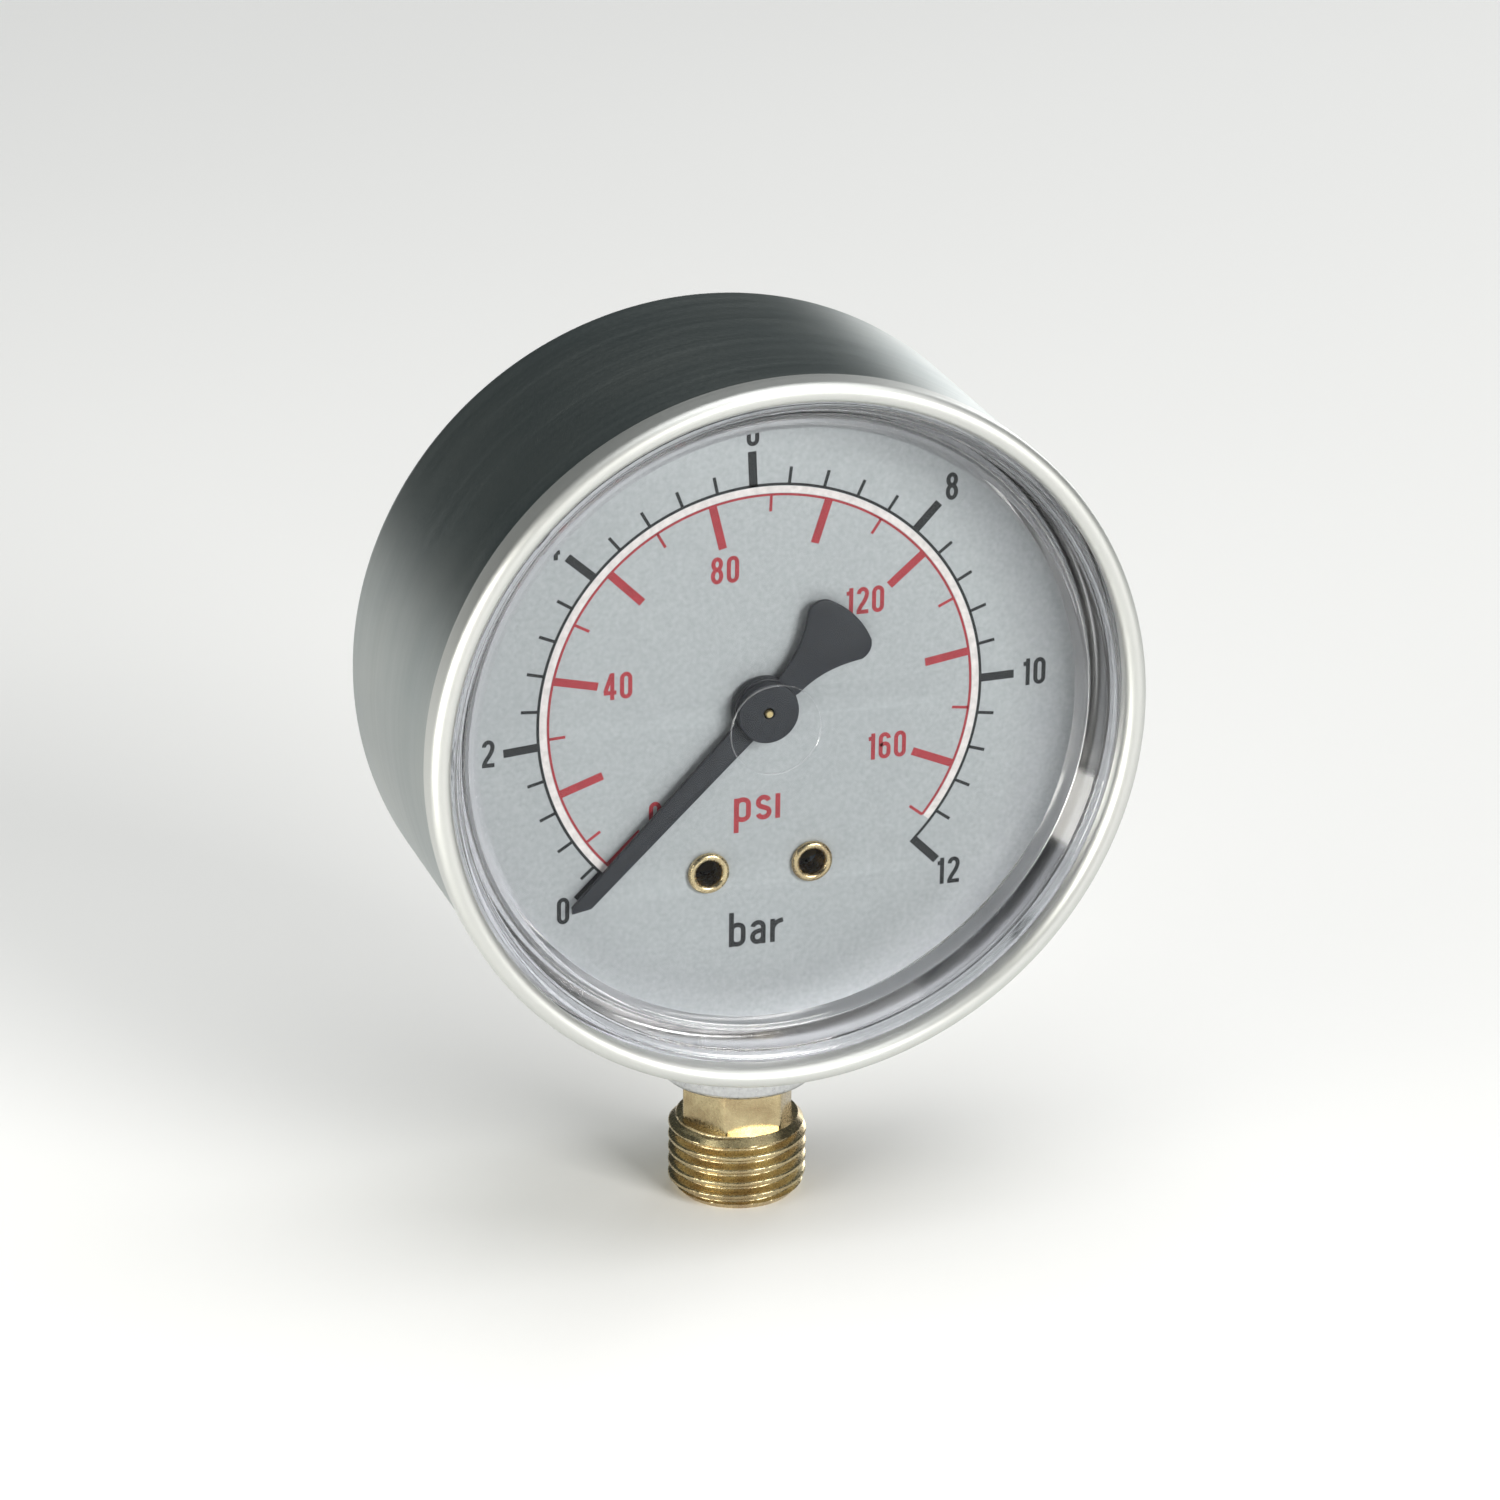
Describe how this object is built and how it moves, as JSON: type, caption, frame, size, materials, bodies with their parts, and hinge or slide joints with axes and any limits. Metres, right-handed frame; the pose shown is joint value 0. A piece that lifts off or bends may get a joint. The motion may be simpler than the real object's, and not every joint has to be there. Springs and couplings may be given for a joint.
{
  "type": "pressure gauge",
  "caption": "Round pressure gauge: bourdon tube movement in a drawn steel case with clear window, printed dial, pointer and threaded bottom stem.",
  "frame": {"origin": "middle of the stem's end face, on the axis of the process thread", "axes": "+Z along the stem towards the dial's centre, -Y the way the dial faces, +X to the right seen from the front"},
  "size_m": [0.068, 0.0326, 0.0853],
  "materials": {
    "brass": "machined brass, satin",
    "collar": "pale plated steel",
    "case": "zinc-plated drawn steel, satin, fine speckle",
    "window": "clear moulded plastic, glossy",
    "dial": "silver-grey fine-grained sheet with black and red print",
    "rivet_brass": "rolled brass",
    "pointer_black": "matt blue-black paint",
    "movement_brass": "stamped brass",
    "spring_bronze": "phosphor bronze strip",
    "tube_bronze": "drawn bronze tube",
    "arbor_steel": "turned steel",
    "screw_steel": "plated steel screws"
  },
  "bodies": {
    "case": {"case_shell": "case", "window": "window", "dial_plate": "dial", "dial_rivet_left": "rivet_brass", "dial_rivet_right": "rivet_brass", "stem": "brass", "stem_collar": "collar", "movement_front_plate": "movement_brass", "movement_back_plate": "movement_brass", "pillar_lower_left": "movement_brass", "pillar_upper_left": "movement_brass", "pillar_upper_right": "movement_brass", "pillar_screw_lower_left": "screw_steel", "pillar_screw_upper_left": "screw_steel", "pillar_screw_upper_right": "screw_steel", "movement_screw_left": "screw_steel", "movement_screw_right": "screw_steel", "case_screw_left": "screw_steel", "case_screw_right": "screw_steel", "hairspring_stud": "movement_brass", "hairspring": "spring_bronze", "bourdon_tube": "tube_bronze"},
    "pointer": {"pointer": "pointer_black", "pointer_hub": "pointer_black", "pinion_arbor": "movement_brass", "hairspring_collet": "movement_brass"},
    "sector": {"sector_gear": "movement_brass", "sector_arbor": "arbor_steel"},
    "tube_tip": {"tip_piece": "movement_brass", "link_pin_tip": "arbor_steel"},
    "link": {"link": "movement_brass", "link_pin_sector": "arbor_steel"}
  },
  "joints": [
    {"name": "pointer", "type": "hinge", "parent": "case", "child": "pointer", "pos_m": [0, -0.0072, 0.0513], "axis": [0, 1, 0], "range_deg": [0, 270], "stiffness_Nm_per_rad": 0.001, "deforming": ["hairspring"]},
    {"name": "sector", "type": "hinge", "parent": "case", "child": "sector", "pos_m": [0.00985, -0.0005, 0.03869], "axis": [0, 1, 0], "range_deg": [-30, 0]},
    {"name": "tube_tip", "type": "hinge", "parent": "case", "child": "tube_tip", "pos_m": [-0.00348, 0.0044, 0.05789], "axis": [0, 1, 0], "range_deg": [-4.8, 0], "deforming": ["bourdon_tube"]},
    {"name": "link", "type": "hinge", "parent": "tube_tip", "child": "link", "pos_m": [0.0176, 0.0004, 0.0422], "axis": [0, 1, 0], "range_deg": [0, 3.6]}
  ],
  "couplings": [
    {"joint": "sector", "follows": "pointer", "ratio": -0.11111},
    {"joint": "tube_tip", "follows": "pointer", "ratio": -0.01777},
    {"joint": "link", "follows": "pointer", "ratio": 0.0132}
  ]
}
